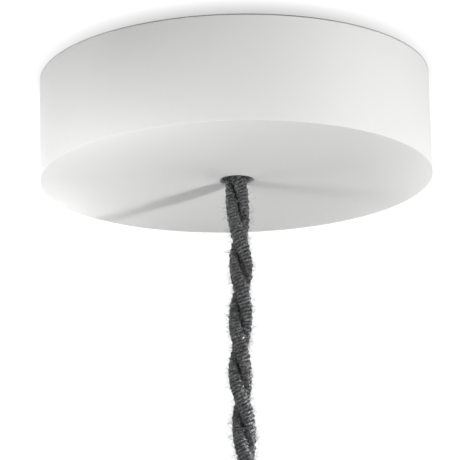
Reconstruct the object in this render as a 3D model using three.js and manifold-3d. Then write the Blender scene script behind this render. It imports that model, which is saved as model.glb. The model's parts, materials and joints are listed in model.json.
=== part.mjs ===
// Wooden ceiling canopy: a turned, painted cup that hides the cable joint of a pendant lamp.
// Millimetres, +Z up. The origin is the centre of the ceiling plane that the cup's rim lies against.
// The cup is below that plane. A folded steel bracket inside it holds it up, and the cord hangs from
// its floor.

import * as THREE from "three";
import { mergeVertices } from "three/addons/utils/BufferGeometryUtils.js";
import Module from "manifold-3d";

const wasm = await Module();
wasm.setup();

// Clearances
const SEAT_GAP = 0.3; // between two pieces that rest on each other
const HOLE_GAP = 0.3; // around a screw in its hole
const CUT_OVERRUN = 1; // how far a cutter runs past the faces that it cuts

// The turned cup
const CUP_DIAMETER = 120;
const CUP_HEIGHT = 32;
const CUP_WALL = 8;
const CUP_FLOOR = 9;
const CUP_EDGE_RADIUS = 0.6; // the sanded lower edge
const CUP_RIM_CHAMFER = 0.5;
const CUP_CORNER_RADIUS = 3; // inside, where the wall meets the floor
const CORD_HOLE_DIAMETER = 10.5;
const CORD_HOLE_CHAMFER = 0.3;

// The folded bracket
const STRIP_WIDTH = 18;
const STRIP_STEEL = 2;
const STRIP_BEND_RADIUS = 1.5; // inside the bend
const EAR_DEPTH = 19;
const EAR_CORNER_RADIUS = 4;
const CABLE_HOLE_DIAMETER = 10;
const SLOT_INSET = 12.9; // from an ear's outer face to the middle of a slot
const SLOT_LENGTH = 12;

// Screws: shank diameter, head diameter and head height
const SIDE_SCREW = { shank: 4, head: 7, height: 2.4 };
const CEILING_SCREW = { shank: 4, head: 7.6, height: 2.6 };
const EARTH_SCREW = { shank: 4, head: 7, height: 2.4 };
const CLAMP_SCREW = { shank: 3, head: 5.2, height: 2 };
const WOOD_SCREW = { shank: 3, head: 5.4, height: 2 };
const FIXING_SCREW = { shank: 2.5, head: 4, height: 1.6 };
const TERMINAL_SCREW = { shank: 2, head: 3.2, height: 1.8 };
const LOCKING_SCREW = { shank: 4, head: 6, height: 2.2 };
const HEAD_EDGE_SHARE = 0.45; // a pan head's straight side, as a share of its height
const HEAD_TOP_SHARE = 0.62; // its flat top, as a share of its diameter
const POINT_SHARE = 0.3; // a wood screw's blunt tip, as a share of its shank
const DRIVE_WIDTH_SHARE = 0.14; // its slots, as shares of its diameter and height
const DRIVE_LENGTH_SHARE = 0.58;
const DRIVE_DEPTH_SHARE = 0.55;

// Where the screws go
const SIDE_SCREW_DEPTH = 12.5; // below the ceiling
const SIDE_RECESS_CLEARANCE = 0.5; // around the head in the cup's wall
const SIDE_RECESS_DEPTH = 3.4;
const SIDE_SCREW_REACH = 2; // past the ear's inner face
const CEILING_SCREW_LENGTH = 30;
const CEILING_SCREW_POINT = 5;
const EARTH_SCREW_PLACE = -21;

// Washers
const CEILING_WASHER = { outer: 9.2, thick: 0.8 };
const EARTH_WASHER = { outer: 8.4, thick: 1 };

// The terminal block, with its wire tubes along Y
const TERMINAL_INSET = 15; // from the middle of a bracket's slot to the middle of the block
const POLE_SPACING = 10.4;
const TERMINAL_LENGTH = 16; // along the wires
const TERMINAL_WEB = 4; // the plate that is screwed to the bracket
const BARREL_WALL = 0.6; // plastic around each tube
const BARREL_DEPTH = 2.6; // from the web's upper face to the top of the tube
const TOWER_WALL = 0.7; // plastic around each screw's access hole
const TOWER_HEIGHT = 5.2; // from the tube's axis to the tower's mouth
const TOWER_PLACE = 4; // from the middle of the block, along the wires
const TUBE_DIAMETER = 4;
const TUBE_BORE = 2.7;
const TUBE_RECESS = 0.6; // from the block's end to the tube's end

// The two cores and their end sleeves
const CORE_DIAMETER = 2.3;
const SLEEVE_PIN_DIAMETER = 1.6;
const SLEEVE_PIN_LENGTH = 6.4;
const SLEEVE_COLLAR_WALL = 0.35;
const SLEEVE_COLLAR_LENGTH = 4.5;
const SLEEVE_SHOULDER = 1;

// The cord clamp on the floor of the cup
const CLAMP_BASE_THICK = 2.5;
const CLAMP_BASE_LENGTH = 37;
const CLAMP_BASE_DEPTH = 16;
const CLAMP_CORNER_RADIUS = 3;
const CLAMP_BLOCK_LENGTH = 22;
const CLAMP_BLOCK_HEIGHT = 8;
const CLAMP_BLOCK_DEPTH = 7;
const JAW_DEPTH = 5.5;
const CLAMP_SCREW_SPACING = 15.2;
const WOOD_SCREW_INSET = 4; // from the clamp base's end
const WOOD_UNDER_SCREW = 2; // left between a pilot hole and the cup's lower face
const WOOD_SCREW_POINT = 2.5;

// The cord: two twisted strands inside one round outline
const CORD_DIAMETER = 7.2;
const CORD_GAP = 0.3;
const CORD_ABOVE_CLAMP = 0.9; // the cut end of the textile cover
const STRAND_OFFSET = 1.85; // from the cord's centreline to a strand's

// The cord's centreline from the mouth of the hole to the grip, as x, y and z.
const CORD_ROUTE = [
  [-0.35, 0.2, -30],
  [0.0, 0.3, -38],
  [0.3, 0.3, -46],
  [0.55, 0.1, -54],
  [0.65, -0.1, -62],
  [0.45, -0.3, -70],
  [0.05, -0.3, -78],
  [-0.25, -0.2, -86],
  [-0.35, 0.0, -94],
  [0.1, 0.2, -102],
  [0.4, 0.3, -110],
  [0.7, 0.2, -118],
  [0.7, 0.1, -126],
  [0.5, 0.0, -134],
  [0.4, 0.0, -142],
  [0.4, 0.0, -151],
];

// The grip on the cord's lower end
const GRIP_DIAMETER = 13;
const GRIP_SOCKET_DEPTH = 12;
const GRIP_FLOOR = 3;
const GRIP_CHAMFER = 0.8;
const GRIP_SCREW_HEIGHT = 8; // above the socket's floor
const GRIP_STUD_DIAMETER = 10;
const GRIP_STUD_LENGTH = 8;

// Smoothness
const CUP_SIDES = 96;
const HOLE_SIDES = 24;
const SCREW_SIDES = 16;
const SMALL_SIDES = 12;
const CORD_SIDES = 10;
const CORD_STEPS = 9;
const CORE_SIDES = 8;
const CORE_STEPS = 14;
const ARC_STEPS = 4;

// Colours and surfaces
const WHITE_PAINT = new THREE.MeshStandardMaterial({ color: 0xe2e2e1, roughness: 0.55 });
const ZINC_STEEL = new THREE.MeshStandardMaterial({ color: 0xb4b7ba, roughness: 0.35, metalness: 1 });
const BRASS = new THREE.MeshStandardMaterial({ color: 0xb99a4e, roughness: 0.3, metalness: 1 });
const NATURAL_NYLON = new THREE.MeshStandardMaterial({ color: 0xd8d5c8, roughness: 0.5 });
const BLACK_NYLON = new THREE.MeshStandardMaterial({ color: 0x222324, roughness: 0.5 });
const GREY_TEXTILE = new THREE.MeshStandardMaterial({ color: 0x46484a, roughness: 0.95 });
const BROWN_CORE = new THREE.MeshStandardMaterial({ color: 0x5a3422, roughness: 0.45 });
const BLUE_CORE = new THREE.MeshStandardMaterial({ color: 0x2b5b94, roughness: 0.45 });
const TINNED_COPPER = new THREE.MeshStandardMaterial({ color: 0xc6c3bd, roughness: 0.35, metalness: 1 });

// Solids from three.js geometry
function solidFrom(geometry) {
  const bare = geometry.clone();
  bare.deleteAttribute("normal");
  bare.deleteAttribute("uv");
  const merged = mergeVertices(bare, 1e-4);
  return new wasm.Manifold(
    new wasm.Mesh({
      numProp: 3,
      vertProperties: merged.attributes.position.array,
      triVerts: new Uint32Array(merged.index.array),
    }),
  );
}

function pieceFrom(name, solid, material) {
  const mesh = solid.getMesh();
  const geometry = new THREE.BufferGeometry();
  geometry.setAttribute("position", new THREE.BufferAttribute(mesh.vertProperties, 3));
  geometry.setIndex(new THREE.BufferAttribute(mesh.triVerts, 1));
  geometry.computeVertexNormals();
  const piece = new THREE.Mesh(geometry, material);
  piece.name = name;
  return piece;
}

// A body turned about Z from a closed profile of [radius, z] points, with the material on their left.
function turned(profile, sides) {
  const points = profile.map(([radius, z]) => new THREE.Vector2(radius, z));
  const closed = [...points, points[0]];
  return solidFrom(new THREE.LatheGeometry(closed, sides).rotateX(Math.PI / 2));
}

// A round bar along "x", "y" or "z" between two places on that axis.
function bar(axis, radius, from, to, centre, sides) {
  const geometry = new THREE.CylinderGeometry(radius, radius, to - from, sides);
  const middle = (from + to) / 2;
  if (axis === "x") {
    geometry.rotateZ(-Math.PI / 2).translate(middle, centre[0], centre[1]);
  } else if (axis === "y") {
    geometry.translate(centre[0], middle, centre[1]);
  } else {
    geometry.rotateX(Math.PI / 2).translate(centre[0], centre[1], middle);
  }
  return solidFrom(geometry);
}

// A block between two corners.
function block(low, high) {
  const size = high.map((value, i) => value - low[i]);
  const geometry = new THREE.BoxGeometry(...size);
  geometry.translate(low[0] + size[0] / 2, low[1] + size[1] / 2, low[2] + size[2] / 2);
  return solidFrom(geometry);
}

// A plate with rounded corners, centred on x and y, between two heights.
function roundedPlate(length, depth, corner, bottom, top, centre) {
  const x = length / 2;
  const y = depth / 2;
  const shape = new THREE.Shape();
  shape.absarc(x - corner, y - corner, corner, 0, Math.PI / 2);
  shape.absarc(-x + corner, y - corner, corner, Math.PI / 2, Math.PI);
  shape.absarc(-x + corner, -y + corner, corner, Math.PI, 1.5 * Math.PI);
  shape.absarc(x - corner, -y + corner, corner, 1.5 * Math.PI, 2 * Math.PI);
  const options = { depth: top - bottom, bevelEnabled: false, curveSegments: ARC_STEPS };
  const geometry = new THREE.ExtrudeGeometry(shape, options);
  return solidFrom(geometry.translate(centre[0], centre[1], bottom));
}

// A tube along a smooth curve through the given points.
function wire(points, diameter, sides, steps) {
  const route = new THREE.CatmullRomCurve3(points.map((point) => new THREE.Vector3(...point)));
  const section = new THREE.Shape();
  for (let side = 0; side < sides; side += 1) {
    const angle = (2 * Math.PI * side) / sides;
    const x = (diameter / 2) * Math.cos(angle);
    const y = (diameter / 2) * Math.sin(angle);
    if (side === 0) {
      section.moveTo(x, y);
    } else {
      section.lineTo(x, y);
    }
  }
  section.closePath();
  return solidFrom(new THREE.ExtrudeGeometry(section, { extrudePath: route, steps }));
}

// Points of an arc, for a turned profile.
function arc(centreRadius, centreZ, radius, startAngle, endAngle) {
  const points = [];
  for (let step = 0; step <= ARC_STEPS; step += 1) {
    const angle = startAngle + ((endAngle - startAngle) * step) / ARC_STEPS;
    points.push([centreRadius + radius * Math.cos(angle), centreZ + radius * Math.sin(angle)]);
  }
  return points;
}

// A pan-head screw. Its head's seat is at z = 0, the head is below it and the shank runs up.
function panScrew(size, length, point, crossed, sides) {
  const head = size.head / 2;
  const shank = size.shank / 2;
  const profile = [
    [0, -size.height],
    [head * HEAD_TOP_SHARE, -size.height],
    [head, -size.height * HEAD_EDGE_SHARE],
    [head, 0],
    [shank, 0],
    [shank, length - point],
  ];
  if (point > 0) {
    profile.push([shank * POINT_SHARE, length]);
  }
  profile.push([0, length]);
  const slotWidth = (size.head * DRIVE_WIDTH_SHARE) / 2;
  const slotLength = crossed ? (size.head * DRIVE_LENGTH_SHARE) / 2 : head + CUT_OVERRUN;
  const slotTop = -size.height * (1 - DRIVE_DEPTH_SHARE);
  const slotBottom = -size.height - CUT_OVERRUN;
  let drive = block([-slotLength, -slotWidth, slotBottom], [slotLength, slotWidth, slotTop]);
  if (crossed) {
    drive = drive.add(block([-slotWidth, -slotLength, slotBottom], [slotWidth, slotLength, slotTop]));
  }
  return turned(profile, sides).subtract(drive);
}

// A piece in its own upright frame, turned and put in its place.
function placed(piece, x, y, z, turnX = 0, turnY = 0, turnZ = 0) {
  piece.rotation.set(turnX, turnY, turnZ);
  piece.position.set(x, y, z);
  return piece;
}

// Places that several pieces share
const cupRadius = CUP_DIAMETER / 2;
const cupInside = cupRadius - CUP_WALL;
const cupBottom = -CUP_HEIGHT;
const floorTop = cupBottom + CUP_FLOOR;
const cordHoleRadius = CORD_HOLE_DIAMETER / 2;
const earOuter = Math.sqrt((cupInside - SEAT_GAP) ** 2 - (STRIP_WIDTH / 2) ** 2);
const slotPlace = earOuter - SLOT_INSET;
const terminalPlace = slotPlace - TERMINAL_INSET;
const stripUnderside = -STRIP_STEEL;
const clampBaseBottom = floorTop + SEAT_GAP;
const clampBaseTop = clampBaseBottom + CLAMP_BASE_THICK;
const woodScrewPlace = CLAMP_BASE_LENGTH / 2 - WOOD_SCREW_INSET;
const clampTop = clampBaseTop + CLAMP_BLOCK_HEIGHT;
const clampScrewZ = clampBaseTop + CLAMP_BLOCK_HEIGHT / 2;
const cordTop = clampTop + CORD_ABOVE_CLAMP;
const terminalTop = stripUnderside - SEAT_GAP;
const webUnderside = terminalTop - TERMINAL_WEB;
const tubeZ = terminalTop - BARREL_DEPTH - TUBE_DIAMETER / 2;
const towerMouth = tubeZ - TOWER_HEIGHT;
const poles = [terminalPlace - POLE_SPACING / 2, terminalPlace + POLE_SPACING / 2];
const cordEnd = CORD_ROUTE[CORD_ROUTE.length - 1];
const sides = [-1, 1];

// The wooden cup
function makeCup() {
  const edge = CUP_EDGE_RADIUS;
  const rim = CUP_RIM_CHAMFER;
  const corner = CUP_CORNER_RADIUS;
  const hole = CORD_HOLE_CHAMFER;
  const profile = [
    [cupInside + rim, 0],
    [cupInside, -rim],
    ...arc(cupInside - corner, floorTop + corner, corner, 0, -Math.PI / 2),
    [cordHoleRadius + hole, floorTop],
    [cordHoleRadius, floorTop - hole],
    [cordHoleRadius, cupBottom + hole],
    [cordHoleRadius + hole, cupBottom],
    ...arc(cupRadius - edge, cupBottom + edge, edge, -Math.PI / 2, 0),
    [cupRadius, -rim],
    [cupRadius - rim, 0],
  ];
  let cup = turned(profile, CUP_SIDES);
  const screwHole = SIDE_SCREW.shank / 2 + HOLE_GAP;
  const recess = SIDE_SCREW.head / 2 + SIDE_RECESS_CLEARANCE;
  const past = cupRadius + CUT_OVERRUN;
  const recessFloor = cupRadius - SIDE_RECESS_DEPTH;
  for (const side of sides) {
    const inner = side < 0 ? [-past, -recessFloor] : [recessFloor, past];
    cup = cup.subtract(bar("x", recess, inner[0], inner[1], [0, -SIDE_SCREW_DEPTH], HOLE_SIDES));
  }
  cup = cup.subtract(bar("x", screwHole, -past, past, [0, -SIDE_SCREW_DEPTH], HOLE_SIDES));
  const pilotEnd = cupBottom + WOOD_UNDER_SCREW;
  const pilot = WOOD_SCREW.shank / 2 + HOLE_GAP;
  for (const side of sides) {
    const centre = [side * woodScrewPlace, 0];
    cup = cup.subtract(bar("z", pilot, pilotEnd, floorTop + CUT_OVERRUN, centre, SCREW_SIDES));
  }
  return pieceFrom("canopy_cup", cup, WHITE_PAINT);
}

// The folded steel bracket, with the ears' rounded lower corners
function makeBracket() {
  const outer = STRIP_BEND_RADIUS + STRIP_STEEL;
  const bendX = earOuter - outer;
  const shape = new THREE.Shape();
  shape.moveTo(-earOuter, -EAR_DEPTH);
  shape.lineTo(-earOuter + STRIP_STEEL, -EAR_DEPTH);
  shape.absarc(-bendX, -outer, STRIP_BEND_RADIUS, Math.PI, Math.PI / 2, true);
  shape.absarc(bendX, -outer, STRIP_BEND_RADIUS, Math.PI / 2, 0, true);
  shape.lineTo(earOuter - STRIP_STEEL, -EAR_DEPTH);
  shape.lineTo(earOuter, -EAR_DEPTH);
  shape.absarc(bendX, -outer, outer, 0, Math.PI / 2);
  shape.absarc(-bendX, -outer, outer, Math.PI / 2, Math.PI);
  shape.closePath();
  const options = { depth: STRIP_WIDTH, bevelEnabled: false, curveSegments: ARC_STEPS };
  const folded = new THREE.ExtrudeGeometry(shape, options);
  folded.rotateX(Math.PI / 2).translate(0, STRIP_WIDTH / 2, 0);

  const y = STRIP_WIDTH / 2;
  const corner = EAR_CORNER_RADIUS;
  const end = new THREE.Shape();
  end.moveTo(-y, CUT_OVERRUN);
  end.lineTo(-y, -EAR_DEPTH + corner);
  end.absarc(-y + corner, -EAR_DEPTH + corner, corner, Math.PI, 1.5 * Math.PI);
  end.absarc(y - corner, -EAR_DEPTH + corner, corner, 1.5 * Math.PI, 2 * Math.PI);
  end.lineTo(y, CUT_OVERRUN);
  end.closePath();
  const length = 2 * (earOuter + CUT_OVERRUN);
  const ends = new THREE.ExtrudeGeometry(end, { ...options, depth: length });
  ends.rotateX(Math.PI / 2).rotateZ(Math.PI / 2).translate(-length / 2, 0, 0);
  let bracket = solidFrom(folded).intersect(solidFrom(ends));

  const below = -STRIP_STEEL - CUT_OVERRUN;
  const above = CUT_OVERRUN;
  const slotWidth = CEILING_SCREW.shank + 2 * HOLE_GAP;
  for (const side of sides) {
    const centre = [side * slotPlace, 0];
    const slot = roundedPlate(SLOT_LENGTH, slotWidth, slotWidth / 2 - 0.01, below, above, centre);
    bracket = bracket.subtract(slot);
  }
  const ear = SIDE_SCREW.shank / 2 + HOLE_GAP;
  const past = earOuter + CUT_OVERRUN;
  const earth = EARTH_SCREW.shank / 2 + HOLE_GAP;
  const fixing = FIXING_SCREW.shank / 2 + HOLE_GAP;
  return pieceFrom(
    "ceiling_bracket",
    bracket
      .subtract(bar("z", CABLE_HOLE_DIAMETER / 2, below, above, [0, 0], HOLE_SIDES))
      .subtract(bar("z", earth, below, above, [EARTH_SCREW_PLACE, 0], SCREW_SIDES))
      .subtract(bar("z", fixing, below, above, [terminalPlace, 0], SCREW_SIDES))
      .subtract(bar("x", ear, -past, past, [0, -SIDE_SCREW_DEPTH], SCREW_SIDES)),
    ZINC_STEEL,
  );
}

// A flat washer whose upper face lies at the given height
function makeWasher(name, size, shank, x, top, material) {
  const outer = size.outer / 2;
  const inner = shank / 2 + HOLE_GAP;
  const profile = [
    [inner, -size.thick],
    [outer, -size.thick],
    [outer, 0],
    [inner, 0],
  ];
  return placed(pieceFrom(name, turned(profile, HOLE_SIDES), material), x, 0, top);
}

// The screws and washers that hold the bracket to the ceiling
function makeCeilingFixings() {
  const group = new THREE.Group();
  const washerTop = stripUnderside - SEAT_GAP;
  const headSeat = washerTop - CEILING_WASHER.thick - SEAT_GAP;
  for (const side of sides) {
    const word = side < 0 ? "left" : "right";
    const x = side * slotPlace;
    const screw = panScrew(CEILING_SCREW, CEILING_SCREW_LENGTH, CEILING_SCREW_POINT, true, SCREW_SIDES);
    group.add(placed(pieceFrom(`ceiling_screw_${word}`, screw, ZINC_STEEL), x, 0, headSeat));
    const washer = `ceiling_washer_${word}`;
    group.add(makeWasher(washer, CEILING_WASHER, CEILING_SCREW.shank, x, washerTop, ZINC_STEEL));
  }
  return group;
}

// The screws that hold the cup to the bracket's ears
function makeSideScrews() {
  const group = new THREE.Group();
  const headSeat = cupRadius - SIDE_RECESS_DEPTH + SEAT_GAP;
  const length = headSeat - (earOuter - STRIP_STEEL) + SIDE_SCREW_REACH;
  for (const side of sides) {
    const word = side < 0 ? "left" : "right";
    const body = panScrew(SIDE_SCREW, length, 0, true, SCREW_SIDES);
    const screw = pieceFrom(`side_screw_${word}`, body, ZINC_STEEL);
    const turn = (-side * Math.PI) / 2;
    group.add(placed(screw, side * headSeat, 0, -SIDE_SCREW_DEPTH, 0, turn, 0));
  }
  return group;
}

// The earth screw and its washer, under the bracket
function makeEarthTerminal() {
  const group = new THREE.Group();
  const washerTop = stripUnderside - SEAT_GAP;
  const headSeat = washerTop - EARTH_WASHER.thick - SEAT_GAP;
  const screw = panScrew(EARTH_SCREW, -headSeat - SEAT_GAP, 0, true, SCREW_SIDES);
  group.add(placed(pieceFrom("earth_screw", screw, BRASS), EARTH_SCREW_PLACE, 0, headSeat));
  group.add(makeWasher("earth_washer", EARTH_WASHER, EARTH_SCREW.shank, EARTH_SCREW_PLACE, washerTop, BRASS));
  return group;
}

// The terminal block: a web against the bracket, a barrel around each tube and a tower for each screw
function makeTerminalBody() {
  const half = TERMINAL_LENGTH / 2;
  const barrel = TUBE_DIAMETER / 2 + SEAT_GAP + BARREL_WALL;
  const access = TERMINAL_SCREW.head / 2 + HOLE_GAP;
  const webLength = POLE_SPACING + 2 * barrel;
  const middle = [terminalPlace, 0];
  let body = roundedPlate(webLength, TERMINAL_LENGTH, BARREL_WALL, webUnderside, terminalTop, middle);
  for (const x of poles) {
    body = body.add(bar("y", barrel, -half, half, [x, tubeZ], HOLE_SIDES));
    for (const side of sides) {
      const centre = [x, side * TOWER_PLACE];
      body = body.add(bar("z", access + TOWER_WALL, towerMouth, tubeZ, centre, SCREW_SIDES));
    }
  }
  for (const x of poles) {
    const channel = TUBE_DIAMETER / 2 + SEAT_GAP;
    const past = half + CUT_OVERRUN;
    body = body.subtract(bar("y", channel, -past, past, [x, tubeZ], SCREW_SIDES));
    for (const side of sides) {
      const centre = [x, side * TOWER_PLACE];
      body = body.subtract(bar("z", access, towerMouth - CUT_OVERRUN, tubeZ, centre, SMALL_SIDES));
    }
  }
  const fixing = FIXING_SCREW.shank / 2 + HOLE_GAP;
  const low = webUnderside - CUT_OVERRUN;
  const high = terminalTop + CUT_OVERRUN;
  body = body.subtract(bar("z", fixing, low, high, [terminalPlace, 0], SCREW_SIDES));
  return pieceFrom("terminal_body", body, NATURAL_NYLON);
}

// The brass tubes and screws in the terminal block, and the screw that holds it to the bracket
function makeTerminalMetal() {
  const group = new THREE.Group();
  const half = TERMINAL_LENGTH / 2 - TUBE_RECESS;
  const screwTip = tubeZ - SLEEVE_PIN_DIAMETER / 2 - SEAT_GAP;
  const headSeat = tubeZ - TUBE_DIAMETER / 2 - SEAT_GAP;
  poles.forEach((x, index) => {
    const word = index === 0 ? "live" : "neutral";
    let tube = bar("y", TUBE_DIAMETER / 2, -half, half, [x, tubeZ], SCREW_SIDES);
    const past = half + CUT_OVERRUN;
    tube = tube.subtract(bar("y", TUBE_BORE / 2, -past, past, [x, tubeZ], SMALL_SIDES));
    for (const side of sides) {
      const hole = TERMINAL_SCREW.shank / 2 + HOLE_GAP;
      const y = side * TOWER_PLACE;
      tube = tube.subtract(bar("z", hole, headSeat - CUT_OVERRUN, tubeZ, [x, y], SMALL_SIDES));
      const screw = panScrew(TERMINAL_SCREW, screwTip - headSeat, 0, false, SMALL_SIDES);
      const place = side < 0 ? "lamp" : "house";
      group.add(placed(pieceFrom(`terminal_screw_${word}_${place}`, screw, ZINC_STEEL), x, y, headSeat));
    }
    group.add(pieceFrom(`terminal_tube_${word}`, tube, BRASS));
  });
  const fixingSeat = webUnderside - SEAT_GAP;
  const fixing = panScrew(FIXING_SCREW, -fixingSeat - SEAT_GAP, 0, false, SMALL_SIDES);
  group.add(placed(pieceFrom("terminal_fixing_screw", fixing, ZINC_STEEL), terminalPlace, 0, fixingSeat));
  return group;
}

// The cord clamp: a base with an upright block behind the cord, and a jaw in front of it
function makeCordClamp() {
  const group = new THREE.Group();
  const halfBlock = CLAMP_BLOCK_LENGTH / 2;
  const groove = CORD_DIAMETER / 2 + CORD_GAP;
  const screwHole = CLAMP_SCREW.shank / 2 + HOLE_GAP;
  const parting = SEAT_GAP / 2;
  const blockBack = CLAMP_BLOCK_DEPTH;
  const jawFront = -JAW_DEPTH;
  const bottom = clampBaseBottom - CUT_OVERRUN;
  const top = clampTop + CUT_OVERRUN;
  const cordHole = bar("z", groove, bottom, top, [0, 0], HOLE_SIDES);
  const front = jawFront - CUT_OVERRUN;
  const back = blockBack + CUT_OVERRUN;

  let base = roundedPlate(
    CLAMP_BASE_LENGTH,
    CLAMP_BASE_DEPTH,
    CLAMP_CORNER_RADIUS,
    clampBaseBottom,
    clampBaseTop,
    [0, 0],
  );
  base = base.add(block([-halfBlock, parting, clampBaseBottom], [halfBlock, blockBack, clampTop]));
  base = base.subtract(cordHole);
  let jaw = block([-halfBlock, jawFront, clampBaseTop + SEAT_GAP], [halfBlock, -parting, clampTop]);
  jaw = jaw.subtract(cordHole);
  const fixing = WOOD_SCREW.shank / 2 + HOLE_GAP;
  for (const side of sides) {
    const screwX = (side * CLAMP_SCREW_SPACING) / 2;
    const hole = bar("y", screwHole, front, back, [screwX, clampScrewZ], SCREW_SIDES);
    base = base.subtract(hole);
    jaw = jaw.subtract(hole);
    const centre = [side * woodScrewPlace, 0];
    base = base.subtract(bar("z", fixing, bottom, clampBaseTop + CUT_OVERRUN, centre, SCREW_SIDES));
  }
  group.add(pieceFrom("cord_clamp_base", base, NATURAL_NYLON));
  group.add(pieceFrom("cord_clamp_jaw", jaw, NATURAL_NYLON));

  const clampSeat = jawFront - SEAT_GAP;
  const clampLength = blockBack - clampSeat - SEAT_GAP;
  const woodSeat = clampBaseTop + SEAT_GAP;
  const woodLength = woodSeat - (cupBottom + WOOD_UNDER_SCREW + SEAT_GAP);
  for (const side of sides) {
    const word = side < 0 ? "left" : "right";
    const clamping = panScrew(CLAMP_SCREW, clampLength, 0, true, SMALL_SIDES);
    const screwX = (side * CLAMP_SCREW_SPACING) / 2;
    const clampPiece = pieceFrom(`clamp_screw_${word}`, clamping, ZINC_STEEL);
    group.add(placed(clampPiece, screwX, clampSeat, clampScrewZ, -Math.PI / 2));
    const wood = panScrew(WOOD_SCREW, woodLength, WOOD_SCREW_POINT, true, SMALL_SIDES);
    const woodX = side * woodScrewPlace;
    group.add(placed(pieceFrom(`floor_screw_${word}`, wood, ZINC_STEEL), woodX, 0, woodSeat, Math.PI));
  }
  return group;
}

// The cores, from the top of the cord in smooth bends into the terminal tubes, and their end sleeves.
// A core's bends are as wide as its thickness allows, so they are measured in core diameters.
function makeCores() {
  const group = new THREE.Group();
  const blockEnd = -TERMINAL_LENGTH / 2;
  const collarStart = blockEnd - SEAT_GAP;
  const collarEnd = collarStart - SLEEVE_COLLAR_LENGTH;
  const coreTip = collarStart - SLEEVE_SHOULDER - SEAT_GAP;
  const start = cordTop + SEAT_GAP;
  const bend = CORE_DIAMETER;
  const arch = start + 2.25 * bend;
  const slope = (arch + tubeZ) / 2;
  const inFront = collarEnd - 0.7 * bend;
  const inCollar = collarEnd + 0.5 * bend;
  const [live, neutral] = poles;
  const routes = {
    live: [
      [STRAND_OFFSET, 0, start],
      [STRAND_OFFSET + 0.13 * bend, -0.26 * bend, start + 1.3 * bend],
      [STRAND_OFFSET + 0.8 * bend, -1.75 * bend, arch],
      [live * 0.4, -4.1 * bend, arch],
      [live * 0.68, collarEnd - 1.15 * bend, slope],
      [live * 0.94, inFront, tubeZ],
      [live, inCollar, tubeZ],
      [live, coreTip, tubeZ],
    ],
    neutral: [
      [-STRAND_OFFSET, 0, start],
      [-STRAND_OFFSET - 0.05 * bend, -0.4 * bend, start + 1.3 * bend],
      [-STRAND_OFFSET + 0.35 * bend, -2.2 * bend, arch],
      [live * 0.3, inFront, arch],
      [live * 0.85, collarEnd - 2.7 * bend, slope],
      [neutral * 0.84, collarEnd - 2.5 * bend, tubeZ],
      [neutral * 0.98, inFront, tubeZ],
      [neutral, inCollar, tubeZ],
      [neutral, coreTip, tubeZ],
    ],
  };
  const colours = { live: BROWN_CORE, neutral: BLUE_CORE };
  const hollow = CORE_DIAMETER / 2 + SEAT_GAP;
  const collar = hollow + SLEEVE_COLLAR_WALL;
  const pin = SLEEVE_PIN_DIAMETER / 2;
  const sleeve = [
    [0, -SLEEVE_SHOULDER],
    [hollow, -SLEEVE_SHOULDER],
    [hollow, -SLEEVE_COLLAR_LENGTH],
    [collar, -SLEEVE_COLLAR_LENGTH],
    [collar, 0],
    [pin, 0],
    [pin, SLEEVE_PIN_LENGTH],
    [0, SLEEVE_PIN_LENGTH],
  ];
  poles.forEach((x, index) => {
    const word = index === 0 ? "live" : "neutral";
    const core = wire(routes[word], CORE_DIAMETER, CORE_SIDES, CORE_STEPS);
    group.add(pieceFrom(`core_${word}`, core, colours[word]));
    const end = pieceFrom(`end_sleeve_${word}`, turned(sleeve, SMALL_SIDES), TINNED_COPPER);
    group.add(placed(end, x, collarStart, tubeZ, -Math.PI / 2));
  });
  return group;
}

// The hanging cord, as one plain tube with the outline of the two twisted strands
function makeCord() {
  const route = [[0, 0, cordTop], [0, 0, clampBaseBottom], ...CORD_ROUTE];
  return pieceFrom("pendant_cord", wire(route, CORD_DIAMETER, CORD_SIDES, CORD_STEPS), GREY_TEXTILE);
}

// The grip that closes the cord's lower end, with a stud for the lamp holder, and its locking screw
function makeGrip() {
  const group = new THREE.Group();
  const body = GRIP_DIAMETER / 2;
  const socket = CORD_DIAMETER / 2 + CORD_GAP;
  const stud = GRIP_STUD_DIAMETER / 2;
  const chamfer = GRIP_CHAMFER;
  const profile = [
    [0, 0],
    [socket, 0],
    [socket, GRIP_SOCKET_DEPTH],
    [body - chamfer, GRIP_SOCKET_DEPTH],
    [body, GRIP_SOCKET_DEPTH - chamfer],
    [body, -GRIP_FLOOR],
    [stud, -GRIP_FLOOR],
    [stud, -GRIP_FLOOR - GRIP_STUD_LENGTH + chamfer],
    [stud - chamfer, -GRIP_FLOOR - GRIP_STUD_LENGTH],
    [0, -GRIP_FLOOR - GRIP_STUD_LENGTH],
  ].reverse();
  const hole = LOCKING_SCREW.shank / 2 + HOLE_GAP;
  const past = -body - CUT_OVERRUN;
  const cut = bar("y", hole, past, 0, [0, GRIP_SCREW_HEIGHT], SMALL_SIDES);
  const grip = pieceFrom("cord_grip", turned(profile, HOLE_SIDES).subtract(cut), BLACK_NYLON);
  const [x, y, z] = [cordEnd[0], cordEnd[1], cordEnd[2] - SEAT_GAP];
  group.add(placed(grip, x, y, z));
  const seat = -body - SEAT_GAP;
  const length = -seat - socket;
  const locking = panScrew(LOCKING_SCREW, length, 0, false, SMALL_SIDES);
  const screw = pieceFrom("cord_grip_screw", locking, BLACK_NYLON);
  group.add(placed(screw, x, y + seat, z + GRIP_SCREW_HEIGHT, -Math.PI / 2));
  return group;
}

const canopy = new THREE.Group();
canopy.add(
  makeCup(),
  makeBracket(),
  makeCeilingFixings(),
  makeSideScrews(),
  makeEarthTerminal(),
  makeTerminalBody(),
  makeTerminalMetal(),
  makeCordClamp(),
  makeCores(),
  makeCord(),
  makeGrip(),
);

export default canopy;
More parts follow.
